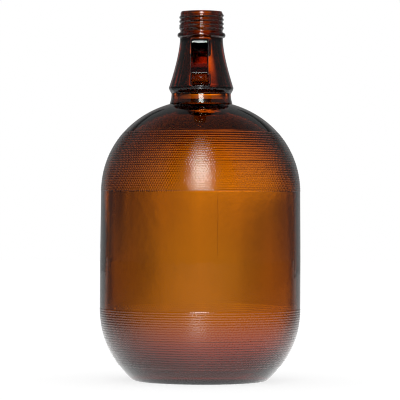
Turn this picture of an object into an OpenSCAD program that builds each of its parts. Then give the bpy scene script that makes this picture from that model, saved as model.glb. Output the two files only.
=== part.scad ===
// Round-shouldered amber glass growler, one US gallon, with a finger loop on the neck
// and a 38 mm continuous-thread finish.
//
// The jug is one piece of glass. It is divided here into zones by its shape: the finish, the
// neck and its finger loop, the shoulder, the two bead-knurled bands, the plain label wall,
// the heel and the pushed-up bottom. The zones are a modelling choice, and the real jug has no
// joints between them. Neighbouring zones meet face to face, as one unbroken vessel.
//
// Z = 0 is the surface that the jug stands on, the Z axis is the jug's own axis, and the
// finger loop points along -Y.

/* [Body] */
// Outside diameter of the body at its widest
body_d = 168; // [160:1:174]
// Glass thickness of the body wall
wall = 3.3; // [2.6:0.1:4]
// How much smaller in radius the top of the label wall is than its bottom
draft = 0.5; // [0:0.1:1]
// Height at which the heel's curve becomes the straight wall
heel_h = 66; // [62:1:70]
// How far in from the body's side the heel ends at the bottom, in radius
heel_in = 27.4; // [24:0.2:30]
// Height at which the shoulder's curve begins
shoulder_z = 156.7; // [154:0.1:158]
// Height of the shoulder's curve, from its beginning to where it would reach the axis
shoulder_b = 78.2; // [77:0.1:80]
// Roundness of the shoulder: 2 is an ellipse
shoulder_p = 2.07; // [2:0.01:2.2]

/* [Bottom] */
// Thickness of the glass at the middle of the bottom
bottom_t = 5.4; // [4:0.1:7]
// Height of the push-up under the bottom, at its middle
push_up = 5; // [3:0.1:7]
// Inner radius of the ring that the jug stands on
stand_r = 50; // [49:0.5:52]

/* [Bead bands] */
// Height of a bead above the glass
bead_h = 0.15; // [0.1:0.05:0.6]
// Rows of beads in the lower band, half of them on the heel's curve
lower_rows = 24; // [12:2:30]
// Rows of beads in the upper band, half of them on the shoulder's curve
upper_rows = 26; // [12:2:32]
// Where the lower band begins
lower_z0 = 12.6; // [10:0.2:15]
// Where the lower band ends
lower_z1 = 60.6; // [56:0.2:62]
// Where the upper band begins
upper_z0 = 158.2; // [158:0.2:160]
// Where the upper band ends
upper_z1 = 207.6; // [200:0.2:210]

/* [Neck] */
// Radius of the collar at the foot of the neck
collar_r = 27; // [26.5:0.1:28]
// Radius of the neck just under the transfer bead
neck_top_r = 18.2; // [18:0.1:18.6]
// Radius of the neck's passage at the collar
neck_in_r = 20.9; // [19:0.1:21.5]

/* [Finish] */
// Radius of the mouth's bore
bore_r = 12.45; // [11:0.05:13]
// Radius of the finish between its threads
finish_r = 17.65; // [17.4:0.05:17.8]
// Radius at the thread's crest
crest_r = 18.65; // [18.4:0.05:18.8]
// Pitch of the thread
pitch = 3.5; // [3.4:0.05:3.8]
// Turns of thread
turns = 2.6; // [1.5:0.1:2.7]
// Radius of the transfer bead
transfer_r = 20.1; // [19.5:0.1:20.5]
// Height of the jug, at the top of its sealing lip
total_h = 309; // [308.5:0.1:311]

/* [Finger loop] */
// Width of the loop's strap
strap_w = 14.6; // [10:0.1:16]
// Distance from the jug's axis to the outside of the loop
loop_reach = 49; // [46:0.5:54]
// Thickness of the loop's strap
strap_t = 7.5; // [6:0.1:8.5]

/* [Hidden] */
$fn = 96;
amber = [0.42, 0.17, 0.03];
amber_dark = [0.24, 0.09, 0.03];
amber_light = [0.62, 0.30, 0.06];

body_r = body_d / 2;
shoulder_r = body_r - draft - 0.05;
panel_z = 100;         // the label wall's draft begins here
push_r = 48;           // the push-up's radius, where it meets the heel ring
floor_z = 6.2;         // height of the inside floor at the push-up's edge
inner_heel_z = 7;      // height at which the inside of the heel begins
lower_mid = (lower_z0 + lower_z1) / 2;
upper_mid = (upper_z0 + upper_z1) / 2;
root_z = 231.5;        // the shoulder meets the neck's root
collar_z = 240.5;      // the neck's root meets the collar
flare_z = 246.8;       // the collar meets the neck's flare
bead_z = 286.8;        // the neck's flare meets the finish
lip_z = total_h - 2.2; // the finish meets the sealing lip

// Outside radius of the body at height z, from the bottom to the neck's root.
function outer_r(z) =
    z < heel_h ? body_r - heel_in * pow(1 - z / heel_h, 2.55)
    : z < panel_z ? body_r
    : z < shoulder_z ? body_r - (draft + 0.05) * (z - panel_z) / (shoulder_z - panel_z)
    : shoulder_r * pow(1 - pow((z - shoulder_z) / shoulder_b, shoulder_p), 1 / shoulder_p);

// Inside radius of the body at height z, from the floor to the neck's root.
inner_shoulder_r = shoulder_r - wall - 0.1;
inner_b = shoulder_b - 5.2;
function inner_r(z) =
    z < heel_h ? body_r - wall - (heel_in + 0.6) * pow(1 - (z - inner_heel_z) / (heel_h - inner_heel_z), 2.55)
    : z < panel_z ? body_r - wall
    : z < shoulder_z ? body_r - wall - (draft + 0.15) * (z - panel_z) / (shoulder_z - panel_z)
    : max(neck_in_r, inner_shoulder_r * pow(max(0, 1 - pow(min(1, (z - shoulder_z) / inner_b), shoulder_p)), 1 / shoulder_p));

// Outside radius of the flared neck, from the collar to the transfer bead.
function neck_out(z) = neck_top_r - 0.2 + 8.5 * pow(max(0, (285 - z) / 38.2), 1.45);
// Radius of the passage through the neck.
function neck_in(z) = z < 241 ? neck_in_r
    : bore_r + (neck_in_r - bore_r) * pow(max(0, (bead_z - z) / (bead_z - 241)), 1.3);

// A ring of the vessel from height a to height b in n steps.
module vessel_ring(a, b, n) {
    rotate_extrude()
        polygon(concat(
            [for (i = [0:n]) let (z = a + (b - a) * i / n) [outer_r(z), z]],
            [for (i = [n:-1:0]) let (z = a + (b - a) * i / n) [inner_r(z), z]]));
}

// A ring of the vessel whose outside carries evenly spaced rows of beads, each row drawn as
// the round ridge that its beads' crests touch.
module bead_ring(a, b, rows, n) {
    lift = [0, 0.72, 1, 0.72];
    rotate_extrude()
        polygon(concat(
            [for (i = [0:rows * 4]) let (z = a + (b - a) * i / (rows * 4))
                [outer_r(z) + bead_h * lift[i % 4], z]],
            [for (i = [n:-1:0]) let (z = a + (b - a) * i / n) [inner_r(z), z]]));
}

// The outside of the neck as a solid, used to trim what grows from it.
module neck_core() {
    n = 16;
    rotate_extrude()
        polygon(concat(
            [[0, root_z], [25.9, root_z], [24.9, collar_z], [collar_r - 1, 243.4], [collar_r, 244.7],
             [collar_r - 0.05, 245.6]],
            [for (i = [0:n]) let (z = flare_z + (bead_z - flare_z) * i / n) [neck_out(z), z]],
            [[0, bead_z]]));
}

// Points of a polygon with its corners rounded. c holds [x, y, radius] for each corner.
function corner(p, q, s, r, n) = let (
    a = [p[0] - q[0], p[1] - q[1]], b = [s[0] - q[0], s[1] - q[1]],
    ua = a / norm(a), ub = b / norm(b),
    half = acos(ua * ub) / 2, d = r / tan(half),
    mid = (ua + ub) / norm(ua + ub), o = [q[0], q[1]] + mid * (r / sin(half)),
    p0 = [q[0], q[1]] + ua * d - o, p1 = [q[0], q[1]] + ub * d - o,
    w0 = atan2(p0[1], p0[0]), w1r = atan2(p1[1], p1[0]),
    w1 = w1r - w0 > 180 ? w1r - 360 : w1r - w0 < -180 ? w1r + 360 : w1r)
    [for (i = [0:n]) let (w = w0 + (w1 - w0) * i / n) o + r * [cos(w), sin(w)]];
function rounded(c, n) = [for (i = [0:len(c) - 1]) let (
    p = c[(i + len(c) - 1) % len(c)], q = c[i], s = c[(i + 1) % len(c)])
    each q[2] == 0 ? [[q[0], q[1]]] : corner(p, q, s, q[2], n)];

module bottom_push_up() {
    n = 8;
    color(amber)
    rotate_extrude()
        polygon(concat(
            [for (i = [0:n]) let (r = push_r * i / n) [r, 1.2 + (push_up - 1.2) * (1 - pow(r / push_r, 2))]],
            [for (i = [n:-1:0]) let (r = push_r * i / n)
                [r, floor_z + (push_up + bottom_t - floor_z) * (1 - pow(r / push_r, 2))]]));
}

module heel_ring() {
    n = 10;
    color(amber)
    rotate_extrude()
        polygon(concat(
            [[push_r, 1.2], [stand_r, 0], [outer_r(0.4) - 1.4, 0], [outer_r(0.4) - 0.4, 0.15]],
            [for (i = [0:n]) let (z = 0.5 + (lower_z0 - 0.5) * i / n) [outer_r(z), z]],
            [for (i = [n:-1:0]) let (z = inner_heel_z + (lower_z0 - inner_heel_z) * i / n) [inner_r(z), z]],
            [[push_r + 2.2, floor_z + 0.2], [push_r, floor_z]]));
}

module heel_bead_band() color(amber_light) bead_ring(lower_z0, lower_mid, lower_rows / 2, 10);

module lower_bead_band() color(amber_light) bead_ring(lower_mid, lower_z1, lower_rows / 2, 6);

module label_wall() {
    color(amber)
    rotate_extrude()
        polygon([[outer_r(lower_z1), lower_z1], [body_r, heel_h], [body_r, panel_z],
                 [outer_r(shoulder_z), shoulder_z], [outer_r(upper_z0), upper_z0],
                 [inner_r(upper_z0), upper_z0], [inner_r(shoulder_z), shoulder_z],
                 [body_r - wall, panel_z], [body_r - wall, heel_h], [inner_r(lower_z1), lower_z1]]);
}

module upper_bead_band() color(amber_light) bead_ring(upper_z0, upper_mid, upper_rows / 2, 7);

module shoulder_bead_band() color(amber_light) bead_ring(upper_mid, upper_z1, upper_rows / 2, 9);

module shoulder_dome() color(amber_dark) vessel_ring(upper_z1, root_z, 18);

module neck_root() {
    color(amber_dark)
    rotate_extrude()
        polygon([[neck_in_r, root_z], [25.9, root_z], [24.9, collar_z], [neck_in_r, collar_z]]);
}

module neck_collar() {
    n = 3;
    color(amber)
    rotate_extrude()
        polygon(concat(
            [[neck_in_r, collar_z], [24.9, collar_z], [collar_r - 1, 243.4], [collar_r, 244.7],
             [collar_r - 0.05, 245.6], [neck_out(flare_z), flare_z]],
            [for (i = [n:-1:0]) let (z = 241 + (flare_z - 241) * i / n) [neck_in(z), z]]));
}

module neck_flare() {
    n = 16;
    color(amber_dark)
    rotate_extrude()
        polygon(concat(
            [for (i = [0:n]) let (z = flare_z + (bead_z - flare_z) * i / n) [neck_out(z), z]],
            [for (i = [n:-1:0]) let (z = flare_z + (bead_z - flare_z) * i / n) [neck_in(z), z]]));
}

// The loop's side outline is drawn in distance from the axis and height, then laid along -Y.
module loop_outline() {
    difference() {
        polygon(rounded([[8, 285, 0], [21, 284.8, 4], [loop_reach, 283.4, 3.2], [loop_reach - 0.3, 254.6, 2.2],
                         [26, 246, 0], [8, 246, 0]], 6));
        polygon(rounded([[14, 270, 0], [26, 276.2, 6], [loop_reach - strap_t - 1, 275.6, 6],
                         [loop_reach - strap_t, 260, 5], [27, 254.8, 3], [14, 256, 0]], 6));
    }
}

module finger_loop() {
    color(amber_dark)
    difference() {
        rotate([90, 0, -90])
            linear_extrude(height = strap_w, center = true)
                loop_outline();
        neck_core();
    }
}

module finish_barrel() {
    color(amber)
    difference() {
        translate([0, 0, bead_z]) cylinder(r = finish_r, h = lip_z - bead_z);
        translate([0, 0, bead_z - 1]) cylinder(r = bore_r, h = lip_z - bead_z + 2);
    }
}

module transfer_bead() {
    color(amber_light)
    rotate_extrude()
        polygon([[finish_r, bead_z], [neck_out(bead_z) + 0.2, bead_z], [transfer_r - 0.5, bead_z + 1],
                 [transfer_r, bead_z + 2], [transfer_r, bead_z + 2.6], [transfer_r - 0.5, bead_z + 3.6],
                 [finish_r + 0.5, bead_z + 4.6], [finish_r, bead_z + 4.8]]);
}

module locking_ring() {
    z = bead_z + 7.1;
    color(amber_light)
    rotate_extrude()
        polygon([[finish_r, z], [crest_r - 0.2, z + 0.5], [crest_r + 0.05, z + 1.1],
                 [crest_r - 0.2, z + 1.8], [finish_r, z + 2.4]]);
}

// One right-hand thread, swept as a round-topped ridge that fades in and out at its ends.
module screw_thread() {
    seg = 48;
    n = floor(turns * seg);
    z0 = lip_z - 1 - turns * pitch;
    foot = finish_r / cos(180 / seg) + 0.003;
    pts = [for (i = [0:n]) let (
            a = 360 * i / seg,
            fade = min(1, i / 5 + 0.15, (n - i) / 5 + 0.15),
            h = (crest_r - finish_r) * fade,
            z = z0 + pitch * i / seg)
        each [for (q = [[0, -1.1], [0.75, -0.45], [1, 0], [0.75, 0.45], [0, 1.1]])
            [(foot + h * q[0]) * cos(a), (foot + h * q[0]) * sin(a), z + q[1] * (0.6 + 0.4 * fade)]]];
    sides = [for (i = [0:n - 1], k = [0:4]) let (j = (k + 1) % 5)
        each [[i * 5 + k, i * 5 + j, (i + 1) * 5 + j], [i * 5 + k, (i + 1) * 5 + j, (i + 1) * 5 + k]]];
    caps = [[4, 3, 2, 1, 0], [for (k = [0:4]) n * 5 + k]];
    color(amber_light)
    polyhedron(points = pts, faces = concat(sides, caps), convexity = 6);
}

module sealing_lip() {
    color(amber_light)
    rotate_extrude()
        polygon([[bore_r, lip_z], [finish_r, lip_z], [finish_r - 0.2, lip_z + 0.9],
                 [finish_r - 1, lip_z + 1.7], [finish_r - 2.1, total_h], [bore_r + 1.2, total_h],
                 [bore_r + 0.5, lip_z + 1.8], [bore_r + 0.15, lip_z + 1.1]]);
}

bottom_push_up();
heel_ring();
heel_bead_band();
lower_bead_band();
label_wall();
upper_bead_band();
shoulder_bead_band();
shoulder_dome();
neck_root();
neck_collar();
neck_flare();
finger_loop();
transfer_bead();
finish_barrel();
locking_ring();
screw_thread();
sealing_lip();
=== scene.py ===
import math

import bpy
import numpy as np
from mathutils import Matrix, Vector


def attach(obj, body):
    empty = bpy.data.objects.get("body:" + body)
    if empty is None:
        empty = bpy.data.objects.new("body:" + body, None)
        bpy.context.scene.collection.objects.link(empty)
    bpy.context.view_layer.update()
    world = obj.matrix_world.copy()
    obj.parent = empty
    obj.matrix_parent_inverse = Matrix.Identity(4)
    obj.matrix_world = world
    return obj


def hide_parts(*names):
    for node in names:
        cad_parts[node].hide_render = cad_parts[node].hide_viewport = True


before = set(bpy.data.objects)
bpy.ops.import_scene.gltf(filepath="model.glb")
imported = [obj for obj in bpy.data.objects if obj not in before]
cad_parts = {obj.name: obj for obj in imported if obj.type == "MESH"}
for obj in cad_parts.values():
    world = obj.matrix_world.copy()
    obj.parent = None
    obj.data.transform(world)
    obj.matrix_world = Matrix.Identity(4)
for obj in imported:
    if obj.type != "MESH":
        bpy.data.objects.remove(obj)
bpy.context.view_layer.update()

MM = 0.001

# ---------------------------------------------------------------- the jug's form, in mm
BODY_R, WALL, DRAFT = 84.0, 3.3, 0.55
HEEL_H, HEEL_IN, HEEL_P = 66.0, 27.4, 2.55
PANEL_Z, SH_Z, SH_B, SH_P = 100.0, 156.7, 78.2, 2.07
SH_R = BODY_R - DRAFT
LOWER_Z0, LOWER_Z1, LOWER_ROWS = 12.6, 60.6, 24
UPPER_Z0, UPPER_Z1, UPPER_ROWS = 158.2, 207.6, 26
ROOT_Z, COLLAR_Z, FLARE_Z, FIN_Z, TOP_Z = 231.5, 240.5, 246.8, 286.8, 309.0
NECK_IN, BORE_R, FIN_R, CREST_R, BEAD_R = 20.9, 12.45, 17.65, 18.65, 20.1
PITCH = 3.5
STRAP_W, REACH, STRAP_T = 14.6, 49.0, 7.5
BEADS, BEAD_H = 240, 0.24
GAP = 0.012          # half of the hairline between neighbouring zones


def outer_r(z):
    z = np.asarray(z, float)
    t = np.clip((z - SH_Z) / SH_B, 0, 1)
    heel = BODY_R - HEEL_IN * np.clip(1 - z / HEEL_H, 0, 1) ** HEEL_P
    mid = BODY_R - DRAFT * np.clip((z - PANEL_Z) / (SH_Z - PANEL_Z), 0, 1)
    top = SH_R * np.maximum(0, 1 - t ** SH_P) ** (1 / SH_P)
    return np.where(z < HEEL_H, heel, np.where(z < SH_Z, mid, top))


def inner_r(z):
    z = np.asarray(z, float)
    r1, b = SH_R - WALL - 0.1, SH_B - 5.2
    t = np.clip((z - SH_Z) / b, 0, 1)
    heel = BODY_R - WALL - (HEEL_IN + 0.6) * np.clip(1 - (z - 7) / (HEEL_H - 7), 0, 1) ** HEEL_P
    mid = BODY_R - WALL - (DRAFT + 0.1) * np.clip((z - PANEL_Z) / (SH_Z - PANEL_Z), 0, 1)
    top = r1 * np.maximum(0, 1 - t ** SH_P) ** (1 / SH_P)
    return np.maximum(NECK_IN, np.where(z < HEEL_H, heel, np.where(z < SH_Z, mid, top)))


def neck_out(z):
    return 18.0 + 8.5 * np.clip((285 - np.asarray(z, float)) / 38.2, 0, None) ** 1.45


def neck_in(z):
    z = np.asarray(z, float)
    return np.where(z < 241, NECK_IN,
                    BORE_R + (NECK_IN - BORE_R) * np.clip((FIN_Z - z) / (FIN_Z - 241), 0, 1) ** 1.3)


def unevenness(theta, z):
    """How far the inside of a blown wall strays from its drawing, in mm."""
    return (0.10 * np.sin(3 * theta + 0.6 + z / 47) + 0.07 * np.sin(5 * theta - 1.1 + z / 31)
            + 0.05 * np.sin(8 * theta + 2.0 - z / 23) + 0.08 * np.sin(z / 19 + 2 * theta)
            + 0.05 * np.sin(z / 11 - theta))


# ---------------------------------------------------------------- meshes
def make_object(name, verts, faces, smooth, sharp_pairs=None):
    me = bpy.data.meshes.new(name)
    me.from_pydata([tuple(v) for v in verts], [], [tuple(f) for f in faces])
    me.polygons.foreach_set("use_smooth", np.asarray(smooth, bool))
    me.update()
    ob = bpy.data.objects.new(name, me)
    bpy.context.scene.collection.objects.link(ob)
    return ob


def ring_faces(a0, b0, n, flip=False):
    i = np.arange(n)
    j = (i + 1) % n
    q = np.stack([a0 + i, a0 + j, b0 + j, b0 + i], 1)
    return q[:, ::-1] if flip else q


def zone(name, z_out, r_out, z_in, r_in, theta_out, theta_in, lift=None, normal_lift=True):
    """A closed ring of glass: an outside grid, an inside grid, and a flat ring at each end.
    z_out and z_in rise. lift, rows by columns, is added along the outside's normal."""
    no, ni = len(theta_out), len(theta_in)
    R = np.repeat(r_out[:, None], no, 1)
    Z = np.repeat(z_out[:, None], no, 1)
    if lift is not None:
        dr, dz = np.gradient(r_out, z_out), np.ones_like(z_out)
        ln = np.hypot(dr, dz)
        nr, nz = dz / ln, -dr / ln
        R = R + lift * nr[:, None]
        Z = Z + lift * nz[:, None]
    vo = np.stack([R * np.cos(theta_out), R * np.sin(theta_out), Z], 2).reshape(-1, 3)
    ZI = np.repeat(z_in[:, None], ni, 1)
    RI = np.repeat(r_in[:, None], ni, 1) + unevenness(theta_in[None, :], ZI)
    vi = np.stack([RI * np.cos(theta_in), RI * np.sin(theta_in), ZI], 2).reshape(-1, 3)
    base = len(vo)
    faces, smooth = [], []
    for k in range(len(z_out) - 1):
        faces += ring_faces(k * no, (k + 1) * no, no).tolist()
    for k in range(len(z_in) - 1):
        faces += ring_faces(base + k * ni, base + (k + 1) * ni, ni, True).tolist()
    smooth += [True] * len(faces)
    m = no // ni
    top_o, top_i = (len(z_out) - 1) * no, base + (len(z_in) - 1) * ni
    for i in range(ni):
        j = (i + 1) % ni
        o = [(i * m + q) % no for q in range(m + 1)]
        faces.append([top_o + q for q in o] + [top_i + j, top_i + i])
        faces.append([q for q in o[::-1]] + [base + i, base + j])
        smooth += [False, False]
    ob = make_object(name, np.concatenate([vo, vi]) * MM, faces, smooth)
    mark_meeting(ob, ~np.asarray(smooth))
    mark_sharp(ob)
    return ob


def mark_meeting(ob, faces):
    """Where one zone meets the next the glass is unbroken, so these faces neither bend nor mirror the light."""
    att = ob.data.attributes.new("meeting", "FLOAT", "FACE")
    att.data.foreach_set("value", np.asarray(faces, np.float32))


def mark_sharp(ob, angle=40):
    me = ob.data
    me.set_sharp_from_angle(angle=math.radians(angle))


def arc_resample(r, z, n):
    s = np.concatenate([[0], np.cumsum(np.hypot(np.diff(r), np.diff(z)))])
    t = np.linspace(0, s[-1], n)
    return np.interp(t, s, r), np.interp(t, s, z)


TWO_PI = 2 * math.pi
TH_FINE = np.arange(BEADS * 4) * TWO_PI / (BEADS * 4)
TH = np.arange(240) * TWO_PI / 240


def bead_band(name, z0, z1, rows, first_row):
    zz = np.linspace(z0, z1, rows * 4 + 1)
    z_edge = zz.copy()
    z_edge[0] += GAP
    z_edge[-1] -= GAP
    dz = (z1 - z0) / rows
    v = (zz - z0) / dz
    row = np.clip(np.floor(v), 0, rows - 1)
    dv = v - row - 0.5
    u = TH_FINE * BEADS / TWO_PI
    shift = ((row + first_row) % 2) * 0.5
    du = (u[None, :] - shift[:, None] + 0.5) % 1.0 - 0.5
    # each row is a low ridge, swollen at each bead
    lift = BEAD_H * np.cos(dv[:, None] * math.pi) ** 2 * (0.66 + 0.34 * np.cos(TWO_PI * du))
    zi = np.linspace(z0, z1, 13)
    zi[0] += GAP
    zi[-1] -= GAP
    return zone(name, z_edge, outer_r(zz), zi, inner_r(zi), TH_FINE, TH, lift)


def plain_zone(name, z0, z1, n):
    fz = np.linspace(z0, z1, 400)
    ro, zo = arc_resample(outer_r(fz), fz, n)
    ri, zi = arc_resample(inner_r(fz), fz, n)
    zo[0] += GAP; zi[0] = zo[0]
    zo[-1] -= GAP; zi[-1] = zo[-1]
    return zone(name, zo, ro, zi, ri, TH, TH)


def bottom_piece(name):
    """The pushed-up bottom and the heel in one closed lathe form, from the axis round to the axis."""
    n = 240
    pr = np.linspace(0, 48, 26)[1:]
    under = [(r, 1.2 + 3.8 * (1 - (r / 48) ** 2)) for r in pr] + [(49.2, 0.35), (50.0, 0.06), (51, 0), (53.4, 0)]
    a = np.linspace(0, 1, 6)
    z1 = np.array([0.5, 1.2])
    edge = [(outer_r(0.5) - 1.9 + 1.75 * math.sin(t * 1.25), 0.95 - 0.95 * math.cos(t * 1.25)) for t in a[1:5]]
    hz = np.linspace(1.2, LOWER_Z0 - GAP, 12)
    heel = list(zip(outer_r(hz), hz))
    iz = np.linspace(LOWER_Z0 - GAP, 7.6, 8)
    inside = list(zip(inner_r(iz), iz))
    floor = [(52.0, 7.02), (50.6, 6.62)] + [(r, 6.2 + 4.2 * (1 - (r / 48) ** 2)) for r in pr[::-1]]
    prof = under + edge + heel + inside + floor
    prof = np.array(prof)
    c, s = np.cos(TH), np.sin(TH)
    verts = np.stack([prof[:, 0:1] * c, prof[:, 0:1] * s, np.repeat(prof[:, 1:2], n, 1)], 2).reshape(-1, 3)
    verts = np.concatenate([verts, [[0, 0, 5.0], [0, 0, 10.4]]])
    faces = []
    for k in range(len(prof) - 1):
        faces += ring_faces(k * n, (k + 1) * n, n).tolist()
    last, p0, p1 = (len(prof) - 1) * n, len(verts) - 2, len(verts) - 1
    for i in range(n):
        j = (i + 1) % n
        faces.append([p0, j, i])
        faces.append([last + i, last + j, p1])
    ob = make_object(name, verts * MM, faces, [True] * len(faces))
    k = len(under) + len(edge) + len(heel) - 1          # the ring between the heel's top and the inside
    index = np.zeros(len(faces))
    index[k * n:(k + 1) * n] = 1
    mark_meeting(ob, index)
    mark_sharp(ob, 50)
    return ob


# ---------------------------------------------------------------- the neck, as a distance field
def poly_sdf(pts, X, Y):
    """Signed distance to a closed polygon, negative inside."""
    pts = np.asarray(pts, float)
    d2 = np.full(X.shape, 1e9)
    inside = np.zeros(X.shape, bool)
    for (x0, y0), (x1, y1) in zip(pts, np.roll(pts, -1, 0)):
        ex, ey = x1 - x0, y1 - y0
        wx, wy = X - x0, Y - y0
        t = np.clip((wx * ex + wy * ey) / (ex * ex + ey * ey + 1e-12), 0, 1)
        d2 = np.minimum(d2, (wx - ex * t) ** 2 + (wy - ey * t) ** 2)
        if abs(ey) > 1e-9:
            cross = ((y0 <= Y) != (y1 <= Y)) & (X < x0 + (Y - y0) * ex / ey)
            inside ^= cross
    d = np.sqrt(d2)
    return np.where(inside, -d, d)


class Field2D:
    def __init__(self, pts, x0, x1, y0, y1, h):
        self.x0, self.y0, self.h = x0, y0, h
        xs, ys = np.arange(x0, x1 + h, h), np.arange(y0, y1 + h, h)
        X, Y = np.meshgrid(xs, ys, indexing="ij")
        self.f = poly_sdf(pts, X, Y)

    def __call__(self, x, y):
        fx = np.clip((x - self.x0) / self.h, 0, self.f.shape[0] - 1.001)
        fy = np.clip((y - self.y0) / self.h, 0, self.f.shape[1] - 1.001)
        i, j = fx.astype(int), fy.astype(int)
        a, b = fx - i, fy - j
        F = self.f
        return ((F[i, j] * (1 - a) + F[i + 1, j] * a) * (1 - b)
                + (F[i, j + 1] * (1 - a) + F[i + 1, j + 1] * a) * b)


def smin(a, b, k):
    h = np.clip(0.5 + 0.5 * (b - a) / k, 0, 1)
    return b + (a - b) * h - k * h * (1 - h)


def rounded_poly(corners, n=8):
    out = []
    m = len(corners)
    for i in range(m):
        p, q, s = (np.array(corners[(i + o) % m][:2], float) for o in (-1, 0, 1))
        r = corners[i][2]
        if r == 0:
            out.append(q)
            continue
        ua, ub = (p - q) / np.linalg.norm(p - q), (s - q) / np.linalg.norm(s - q)
        half = math.acos(float(ua @ ub)) / 2
        mid = (ua + ub) / np.linalg.norm(ua + ub)
        o = q + mid * r / math.sin(half)
        p0, p1 = q + ua * r / math.tan(half) - o, q + ub * r / math.tan(half) - o
        w0, w1 = math.atan2(p0[1], p0[0]), math.atan2(p1[1], p1[0])
        if w1 - w0 > math.pi:
            w1 -= TWO_PI
        if w1 - w0 < -math.pi:
            w1 += TWO_PI
        for t in np.linspace(w0, w1, n):
            out.append(o + r * np.array([math.cos(t), math.sin(t)]))
    return np.array(out)


def neck_field():
    fz = np.linspace(FLARE_Z, FIN_Z, 40)
    bead = [(BEAD_R - 1.0 + 1.0 * math.cos(t), 289.1 + 1.75 * math.sin(t)) for t in np.linspace(-1.45, 1.45, 11)]
    lock = [(CREST_R - 0.95 + 1.0 * math.cos(t), 295.1 + 1.25 * math.sin(t)) for t in np.linspace(-1.3, 1.3, 9)]
    lip = [(FIN_R - 1.75 + 1.75 * math.cos(t), TOP_Z - 1.75 + 1.75 * math.sin(t)) for t in np.linspace(0, 1.5, 9)]
    outer = ([(0, ROOT_Z - 6), (26.6, ROOT_Z - 6), (26.2, ROOT_Z), (25.9, 233.0), (25.4, 234.8), (25.1, 236.5), (24.95, 238.2), (24.9, 240.2),
              (25.6, 241.3), (26.45, 242.8), (26.95, 244.2), (27.0, 245.0), (26.85, 245.8), (26.5, 246.6)]
             + list(zip(neck_out(fz[1:]), fz[1:])) + bead + [(FIN_R + 0.15, 291.6), (FIN_R, 292.6)] + lock
             + [(FIN_R, 297.2), (FIN_R, 304)] + lip + [(0, TOP_Z)])
    cz = np.linspace(241, FIN_Z, 40)
    throat = [(BORE_R + 1.35 - 1.35 * math.cos(t), TOP_Z - 1.35 + 1.35 * math.sin(t)) for t in np.linspace(0, 1.5, 8)]
    cavity = ([(0, ROOT_Z - 8), (NECK_IN, ROOT_Z - 8)] + list(zip(neck_in(cz), cz))
              + throat + [(BORE_R + 1.6, TOP_Z + 3), (0, TOP_Z + 3)])
    solid = Field2D(outer, 0, 60, 220, 320, 0.1)
    hollow = Field2D(cavity, 0, 60, 220, 320, 0.1)
    strap_out = rounded_poly([(8, 285, 0), (21, 284.8, 4), (REACH, 283.4, 3.2), (REACH - 0.3, 254.6, 2.2),
                              (26, 246, 0), (8, 246, 0)])
    strap_in = rounded_poly([(14, 270, 0), (26, 276.2, 6), (REACH - STRAP_T - 1, 275.6, 6),
                             (REACH - STRAP_T, 260, 5), (27, 254.8, 3), (14, 256, 0)])
    s_out = Field2D(strap_out, 0, 60, 220, 320, 0.1)
    s_in = Field2D(strap_in, 0, 60, 220, 320, 0.1)
    lip_z = TOP_Z - 2.2
    turns = 2.6
    t_top = 0.0                       # the thread ends at +X, t in turns measured down from there
    z_top = 305.7

    def f(p):
        x, y, z = p[..., 0], p[..., 1], p[..., 2]
        r = np.hypot(x, y)
        th = np.arctan2(y, x) / TWO_PI
        d = solid(r, z)
        # the thread: a right-hand helix, z rising 3.5 mm a turn, that fades at both ends
        ph = (z - z_top) / PITCH - th
        k = np.round(ph)
        t = th + k                     # turns from the top end, negative below it
        dz = (ph - k) * PITCH
        fade = np.clip((0.12 - t) * 9, 0, 1) * np.clip((t + turns) * 9, 0, 1)
        rad = 1.25
        rc = CREST_R - rad - (1 - fade) * 1.6
        dt = np.sqrt((r - rc) ** 2 + (dz * 1.05) ** 2) - rad
        d = smin(d, dt, 0.5)
        # the finger loop
        u = -y
        d2 = np.maximum(s_out(u, z), -s_in(u, z))
        rr = 1.2
        a = d2 + rr
        b = np.abs(x) - STRAP_W / 2 + rr
        dh = np.minimum(np.maximum(a, b), 0) + np.hypot(np.maximum(a, 0), np.maximum(b, 0)) - rr
        dh = np.where(u < 0, 30.0, dh)
        d = smin(d, dh, 2.2)
        d = np.maximum(d, -hollow(r, z))
        return np.maximum(d, ROOT_Z + GAP - z)
    return f


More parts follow.
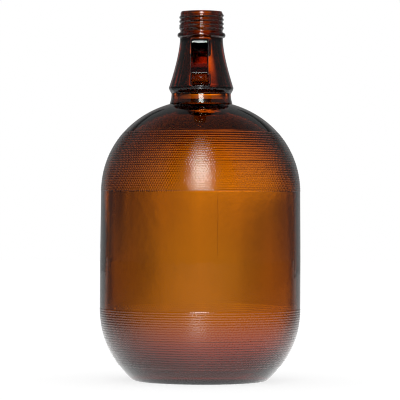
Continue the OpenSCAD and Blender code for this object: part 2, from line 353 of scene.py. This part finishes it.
def surface_nets(f, lo, hi, h):
    n = [int(round((b - a) / h)) + 1 for a, b in zip(lo, hi)]
    ax = [a + h * np.arange(m) for a, m in zip(lo, n)]
    F = np.empty(n)
    for i in range(n[0]):
        Y, Z = np.meshgrid(ax[1], ax[2], indexing="ij")
        F[i] = f(np.stack([np.full_like(Y, ax[0][i]), Y, Z], -1))
    S = F < 0
    cn = [m - 1 for m in n]
    acc = np.zeros((*cn, 3))
    cnt = np.zeros(cn)
    idx = np.indices(cn).astype(np.float64)
    corners = [(i, j, k) for i in (0, 1) for j in (0, 1) for k in (0, 1)]

    def cut(o):
        return tuple(slice(o[a], o[a] + cn[a]) for a in range(3))
    for c0 in corners:
        for a in range(3):
            if c0[a] == 1:
                continue
            c1 = list(c0)
            c1[a] = 1
            f0, f1 = F[cut(c0)], F[cut(c1)]
            x = (f0 < 0) != (f1 < 0)
            t = np.where(x, f0 / np.where(x, f0 - f1, 1), 0)
            for b in range(3):
                acc[..., b] += np.where(x, c0[b] + (t if b == a else 0), 0)
            cnt += x
    active = cnt > 0
    vid = np.full(cn, -1)
    vid[active] = np.arange(active.sum())
    pos = np.stack([idx[b][active] + acc[..., b][active] / cnt[active] for b in range(3)], 1) * h + np.array(lo)
    faces = []
    for a in range(3):
        b, c = (a + 1) % 3, (a + 2) % 3
        s0 = [slice(None)] * 3
        s1 = [slice(None)] * 3
        s0[a], s1[a] = slice(0, -1), slice(1, None)
        x = S[tuple(s0)] != S[tuple(s1)]
        ii = np.argwhere(x)
        ok = (ii[:, b] > 0) & (ii[:, c] > 0) & (ii[:, b] < n[b] - 1) & (ii[:, c] < n[c] - 1)
        ii = ii[ok]
        def cell(db, dc):
            q = ii.copy()
            q[:, b] -= db
            q[:, c] -= dc
            return vid[q[:, 0], q[:, 1], q[:, 2]]
        q = np.stack([cell(1, 1), cell(0, 1), cell(0, 0), cell(1, 0)], 1)
        neg = S[ii[:, 0], ii[:, 1], ii[:, 2]]
        q = np.where(neg[:, None], q, q[:, ::-1])
        faces.append(q)
    return pos, np.concatenate(faces)


def gradient(f, p, e=0.06):
    g = np.zeros_like(p)
    for a in range(3):
        d = np.zeros(3)
        d[a] = e
        g[:, a] = (f(p + d) - f(p - d)) / (2 * e)
    return g


def neck_piece(name, h):
    f = neck_field()
    lo = (-28.6, -51.0, ROOT_Z - 1.3)
    hi = tuple(a + math.ceil((b - a) / h) * h for a, b in zip(lo, (28.6, 28.6, TOP_Z + 1.2)))
    pos, faces = surface_nets(f, lo, hi, h)
    for _ in range(3):
        g = gradient(f, pos)
        n2 = (g ** 2).sum(1)
        step = np.clip(f(pos) / np.maximum(n2, 0.2), -0.4, 0.4)
        pos = pos - g * step[:, None] * 0.9
    pos[:, 2] = np.clip(pos[:, 2], ROOT_Z + GAP, TOP_Z)
    nrm = gradient(f, pos, 0.12)
    nrm /= np.linalg.norm(nrm, axis=1)[:, None] + 1e-9
    ob = make_object(name, pos * MM, faces, [True] * len(faces))
    low = pos[faces][..., 2].mean(1) < ROOT_Z + GAP + 0.02
    mark_meeting(ob, low)
    ob.data.normals_split_custom_set_from_vertices([tuple(v) for v in nrm])
    return ob


# ---------------------------------------------------------------- materials
def amber_glass(name, density=1000.0, color=(0.89, 0.66, 0.0), bump=0.0, seam=0.0):
    m = bpy.data.materials.new(name)
    m.use_nodes = True
    nt = m.node_tree
    nt.nodes.clear()
    out = nt.nodes.new("ShaderNodeOutputMaterial")
    b = nt.nodes.new("ShaderNodeBsdfPrincipled")
    b.inputs["Base Color"].default_value = (1, 1, 1, 1)
    b.inputs["Roughness"].default_value = 0.0
    at = nt.nodes.new("ShaderNodeAttribute")
    at.attribute_name = "meeting"
    mt = nt.nodes.new("ShaderNodeMath")
    mt.operation = "MULTIPLY_ADD"
    mt.inputs[1].default_value = -0.51
    mt.inputs[2].default_value = 1.51
    nt.links.new(at.outputs["Fac"], mt.inputs[0])
    nt.links.new(mt.outputs[0], b.inputs["IOR"])
    b.inputs["Transmission Weight"].default_value = 1.0
    nt.links.new(b.outputs[0], out.inputs["Surface"])
    v = nt.nodes.new("ShaderNodeVolumeAbsorption")
    v.inputs["Color"].default_value = (*color, 1)
    v.inputs["Density"].default_value = density
    nt.links.new(v.outputs[0], out.inputs["Volume"])
    if bump:
        tc = nt.nodes.new("ShaderNodeTexCoord")
        no = nt.nodes.new("ShaderNodeTexNoise")
        no.inputs["Scale"].default_value = 90.0
        no.inputs["Detail"].default_value = 2.0
        bp = nt.nodes.new("ShaderNodeBump")
        bp.inputs["Strength"].default_value = bump
        bp.inputs["Distance"].default_value = 0.0004
        nt.links.new(tc.outputs["Object"], no.inputs["Vector"])
        nt.links.new(no.outputs["Fac"], bp.inputs["Height"])
        nt.links.new(bp.outputs["Normal"], b.inputs["Normal"])
    if seam:
        # the mould's parting line: a fine wavy ridge down the wall, on the half plane at SEAM_AZ
        sep = nt.nodes.new("ShaderNodeSeparateXYZ")
        nt.links.new(tc.outputs["Object"], sep.inputs[0])

        def math_node(op, *ins):
            k = nt.nodes.new("ShaderNodeMath")
            k.operation = op
            for slot, val in enumerate(ins):
                if isinstance(val, (int, float)):
                    k.inputs[slot].default_value = val
                else:
                    nt.links.new(val, k.inputs[slot])
            return k.outputs[0]
        away = math_node("SUBTRACT", math_node("MULTIPLY", sep.outputs["X"], math.sin(SEAM_AZ)),
                         math_node("MULTIPLY", sep.outputs["Y"], math.cos(SEAM_AZ)))
        wave = math_node("MULTIPLY", math_node("SINE", math_node("MULTIPLY", sep.outputs["Z"], 330.0)), 0.00022)
        t = math_node("MULTIPLY", math_node("ADD", away, wave), 1 / SEAM_W)
        ridge = math_node("EXPONENT", math_node("MULTIPLY", math_node("MULTIPLY", t, t), -1.0))
        ridge = math_node("MULTIPLY", ridge, math_node("MULTIPLY", math_node("LESS_THAN", sep.outputs["Y"], 0.0),
                                                       math_node("GREATER_THAN", sep.outputs["Z"], 0.106)))
        b2 = nt.nodes.new("ShaderNodeBump")
        b2.inputs["Strength"].default_value = 1.0
        b2.inputs["Distance"].default_value = seam
        nt.links.new(ridge, b2.inputs["Height"])
        nt.links.new(bp.outputs["Normal"], b2.inputs["Normal"])
        nt.links.new(b2.outputs["Normal"], b.inputs["Normal"])
    return m


SEAM_AZ, SEAM_W = math.radians(-78.5), 0.00045
glass = amber_glass("amber_glass", color=(0.895, 0.705, 0.0), bump=0.15)
seamed = amber_glass("amber_glass_seamed", color=(0.895, 0.705, 0.0), bump=0.15, seam=0.00003)


def dress(ob, mat, slot, *nodes):
    ob.data.materials.append(mat)
    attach(ob, "root")
    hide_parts(*nodes)
    return ob


lower_mid = (LOWER_Z0 + LOWER_Z1) / 2
upper_mid = (UPPER_Z0 + UPPER_Z1) / 2
dress(bottom_piece("heel_and_bottom"), glass, "amber_glass", "bottom_push_up", "heel_ring")
dress(bead_band("heel_beads", LOWER_Z0, lower_mid, LOWER_ROWS // 2, 0), glass, "amber_glass_beaded", "heel_bead_band")
dress(bead_band("lower_beads", lower_mid, LOWER_Z1, LOWER_ROWS // 2, LOWER_ROWS // 2), glass, "amber_glass_beaded", "lower_bead_band")
dress(plain_zone("label_wall_glass", LOWER_Z1, UPPER_Z0, 49), seamed, "amber_glass", "label_wall")
dress(bead_band("upper_beads", UPPER_Z0, upper_mid, UPPER_ROWS // 2, 0), glass, "amber_glass_beaded", "upper_bead_band")
dress(bead_band("shoulder_beads", upper_mid, UPPER_Z1, UPPER_ROWS // 2, UPPER_ROWS // 2), glass, "amber_glass_beaded", "shoulder_bead_band")
dress(plain_zone("shoulder_dome_glass", UPPER_Z1, ROOT_Z, 40), glass, "amber_glass", "shoulder_dome")
dress(neck_piece("neck_and_finger_loop", 0.6), glass, "amber_glass_neck",
      "neck_root", "neck_collar", "neck_flare", "finger_loop", "transfer_bead", "finish_barrel",
      "locking_ring", "screw_thread", "sealing_lip")


# ---------------------------------------------------------------- stage
# The lamps' light comes from large soft cards that the camera doesn't see. Each card is a fine mesh with
# its brightness at every point. Behind the jug stands a spotlit backdrop, in front a tall softbox.
PHI = math.radians(1.8)          # the photographer stands this far round from -Y


def logistic(x):
    return 1 / (1 + np.exp(-np.clip(x, -60, 60)))


def hump(x, c, left, right):
    return np.exp(-((x - c) / np.where(x < c, left, right)) ** 2)


def glow_mesh(name, P, glow, seen_by, color=(1, 1, 1)):
    """A card from an n by m grid of points, glowing by the number at each. seen_by names the rays that meet it."""
    n, m = glow.shape
    k = np.arange(n * m).reshape(n, m)
    faces = np.stack([k[:-1, :-1], k[1:, :-1], k[1:, 1:], k[:-1, 1:]], -1).reshape(-1, 4)
    me = bpy.data.meshes.new(name)
    me.from_pydata([tuple(p) for p in P.reshape(-1, 3)], [], faces.tolist())
    att = me.attributes.new("glow", "FLOAT", "POINT")
    att.data.foreach_set("value", np.ascontiguousarray(glow.ravel(), np.float32))
    mat = bpy.data.materials.new(name + "_light")
    mat.use_nodes = True
    nt = mat.node_tree
    nt.nodes.clear()
    out = nt.nodes.new("ShaderNodeOutputMaterial")
    e = nt.nodes.new("ShaderNodeEmission")
    e.inputs["Color"].default_value = (*color, 1)
    at = nt.nodes.new("ShaderNodeAttribute")
    at.attribute_name = "glow"
    nt.links.new(at.outputs["Fac"], e.inputs["Strength"])
    nt.links.new(e.outputs[0], out.inputs["Surface"])
    me.materials.append(mat)
    ob = bpy.data.objects.new(name, me)
    bpy.context.scene.collection.objects.link(ob)
    ob.visible_camera = "camera" in seen_by
    ob.visible_diffuse = "diffuse" in seen_by
    ob.visible_glossy = "glossy" in seen_by
    ob.visible_transmission = "transmission" in seen_by
    ob.visible_volume_scatter = False
    ob.visible_shadow = False
    return ob


def column(x):
    """Brightness of the lit strip of backdrop, by distance to its side."""
    return (0.30 + 0.58 * np.exp(-(x / 0.16) ** 2)) * logistic((0.55 - np.abs(x)) / 0.06)


def backdrop_glow(x, z):
    """The backdrop, 3 m behind the jug: a lit strip, a spot up and to the right, dark above."""
    spot = 2.2 * hump(x, 0.22, 0.28, 0.28) * hump(z, 0.31, 0.115, 0.17)
    dim = 1 - 0.5 * logistic((-0.22 - x) / 0.05) * hump(z, 0.19, 0.10, 0.3)
    edge = np.where(x < 0.13, 0.60 - 0.62 * (0.13 - x), 0.60 - 0.25 * (x - 0.13))
    foot = 0.28 * hump(x, 0.3, 0.15, 0.2) * logistic((0.075 - z) / 0.02)
    return (column(x) * dim + spot + foot) * logistic((edge - z) / 0.035)


def floor_under_glass(x, d):
    """The floor seen through the jug, x to the side and d behind."""
    u = x * 3.8 / (0.8 + np.maximum(d, 0))
    far = column(u) + 0.28 * hump(u, 0.3, 0.15, 0.2)
    near = 1.05 * logistic((u + 0.22) / 0.10) * logistic((0.5 - u) / 0.07)
    w = np.clip((d - 0.4) / 1.0, 0, 1)
    return near * (1 - w) + far * w


# the backdrop, a cylinder with a lit strip behind the jug for each eighth of a turn round it
az = np.linspace(0, TWO_PI, 1441)
hz = np.concatenate([np.linspace(0, 0.9, 91), np.linspace(0.95, 4.0, 20)])
A, H = np.meshgrid(az, hz, indexing="ij")
glow = np.zeros_like(A)
for k in range(8):
    turn = (A - k * math.pi / 4 + math.pi) % TWO_PI - math.pi
    level = 1.0 if k == 0 else 0.8
    glow += level * backdrop_glow(np.tan(np.clip(turn, -0.45, 0.45)) * 3.0, H) * (np.abs(turn) < 0.39)
P = np.stack([3 * np.sin(A - PHI), 3 * np.cos(A - PHI), H], -1)
glow_mesh("backdrop_light", P, glow, ("transmission",))

# the floor as the glass sees it, through itself and in its face
rr = np.concatenate([[0.001], np.linspace(0.02, 0.6, 59), np.linspace(0.65, 3.0, 48)])
ta = np.linspace(0, TWO_PI, 361)
Rr, Ta = np.meshgrid(rr, ta, indexing="ij")
fx, fd = Rr * np.sin(Ta), Rr * np.cos(Ta)
Pf = np.stack([fx * math.cos(PHI) - fd * math.sin(PHI), fx * math.sin(PHI) + fd * math.cos(PHI), fx * 0], -1)
under = floor_under_glass(fx, fd)
side = np.abs(np.degrees(np.arctan2(fx, fd)))         # 0 straight behind the jug, 180 in front
# behind the jug the lit strip, elsewhere an evenly lit floor
ahead = logistic(fd / 0.05) * (1 - logistic((side - 36) / 3) * logistic((Rr - 0.35) / 0.04))
plain = 0.62
own = logistic((0.09 - Rr) / 0.01)             # the floor in the jug's own shade
glow_mesh("floor_through", Pf, (under * ahead + plain * (1 - ahead)) * (1 - 0.62 * own), ("transmission",))
streak = 4.5 * np.exp(-((fx - 0.06 * fd) / (0.01 + 0.10 * np.abs(fd))) ** 2) * hump(fd, -0.32, 0.30, 0.12)
wide = 0.07 + 0.36 * logistic((47 - side) / 2.5) + 0.16 * np.exp(-((180 - side) / 40) ** 2)
glow_mesh("floor_mirrored", Pf * np.where(Rr > 2.9, 2.5, 1.0)[..., None], (wide + 1.5 / (1 + (Rr / 0.33) ** 2)) * (1 - 0.2 * own) + streak, ("glossy",))


def sky_patch(name, a0, a1, e0, e1, level, seen_by, R=3.0, n=60, m=60, color=(1, 1, 1)):
    """Part of a sphere round the jug, a0 to a1 degrees from straight behind and e0 to e1 degrees up."""
    a, e = np.meshgrid(np.radians(np.linspace(a0, a1, n)), np.radians(np.linspace(e0, e1, m)), indexing="ij")
    pos = np.stack([R * np.cos(e) * np.sin(a - PHI), R * np.cos(e) * np.cos(a - PHI), 0.16 + R * np.sin(e)], -1)
    return glow_mesh(name, pos, level(np.degrees(a), np.degrees(e)), seen_by, color)


# the softbox in front, its top fading, with soft light spilling to its sides
def softbox(a, e):
    a = np.abs(a - 180)
    core = logistic((9.0 - a) / 0.5) * logistic((e - 6.7) / 0.15) * (0.22 + 0.78 * logistic((41 - e) / 1.5))
    return 13.5 * core * logistic((62 - e) / 1.5) + 0.9 * np.exp(-(a / 17) ** 2) * logistic((e - 9) / 0.7) * logistic((44 - e) / 4)


sky_patch("softbox", 140, 220, 4, 68, softbox, ("glossy",), n=161, m=257, color=(0.96, 1.03, 0.98))
# white card at either side, behind, that draws the jug's outline
for side in (-1, 1):
    lo, hi = sorted((side * 12, side * 45))
    sky_patch("outline_card_" + ("left" if side < 0 else "right"), lo, hi, -3, 30,
              lambda a, e: 0.34 * logistic((44 - np.abs(a)) / 3) * logistic((24 - e) / 3), ("glossy",))
# the room's faint light on every face
sky_patch("room_dome", -180, 180, -2, 90, lambda a, e: 0.12 + 0.11 * logistic((e - 9) / 1) * logistic((52 - e) / 4), ("glossy",), R=6.0, n=73, m=70)

sc = bpy.context.scene
world = bpy.data.worlds.new("studio")
sc.world = world
world.use_nodes = True
bg = world.node_tree.nodes["Background"] if "Background" in world.node_tree.nodes else world.node_tree.nodes.new("ShaderNodeBackground")
bg.inputs["Color"].default_value = (1, 1, 1, 1)
bg.inputs["Strength"].default_value = 1.0
world.cycles_visibility.diffuse = True
world.cycles_visibility.glossy = False
world.cycles_visibility.transmission = False

# the white floor, lit from all round, with the jug's faint shadow on it
me = bpy.data.meshes.new("floor")
me.from_pydata([(-4, -4, 0), (4, -4, 0), (4, 4, 0), (-4, 4, 0)], [], [(0, 1, 2, 3)])
floor = bpy.data.objects.new("floor", me)
sc.collection.objects.link(floor)
fm = bpy.data.materials.new("floor_white")
fm.use_nodes = True
fb = fm.node_tree.nodes["Principled BSDF"]
fb.inputs["Base Color"].default_value = (0.30, 0.30, 0.30, 1)
fb.inputs["Roughness"].default_value = 1.0
fb.inputs["Specular IOR Level"].default_value = 0.0
fb.inputs["Emission Color"].default_value = (1, 1, 1, 1)
fb.inputs["Emission Strength"].default_value = 0.75
me.materials.append(fm)
floor.visible_glossy = False
floor.visible_transmission = False
floor.visible_diffuse = False

# ---------------------------------------------------------------- camera
DIST, EYE = 2.097, 0.151
cam_data = bpy.data.cameras.new("camera")
cam_data.lens = 225
cam_data.sensor_width = 36
cam_data.clip_end = 20
cam = bpy.data.objects.new("camera", cam_data)
sc.collection.objects.link(cam)
loc = Vector((DIST * math.sin(PHI), -DIST * math.cos(PHI), EYE))
right = Vector((math.cos(PHI), math.sin(PHI), 0))
back_v = Vector((math.sin(PHI), -math.cos(PHI), 0))
yaw = math.radians(0.014)
rot = Matrix((right, Vector((0, 0, 1)), back_v)).transposed()
roll = math.radians(0.30)
rot = rot @ Matrix.Rotation(yaw, 3, "Y") @ Matrix.Rotation(roll, 3, "Z")
cam.matrix_world = Matrix.Translation(loc) @ rot.to_4x4()
sc.camera = cam

sc.view_settings.view_transform = "Standard"
sc.cycles.max_bounces = 24
sc.cycles.transmission_bounces = 24
sc.cycles.glossy_bounces = 8
sc.cycles.diffuse_bounces = 2
sc.cycles.blur_glossy = 0.0
sc.cycles.filter_width = 1.1
sc.cycles.use_adaptive_sampling = False
sc.cycles.use_denoising = True
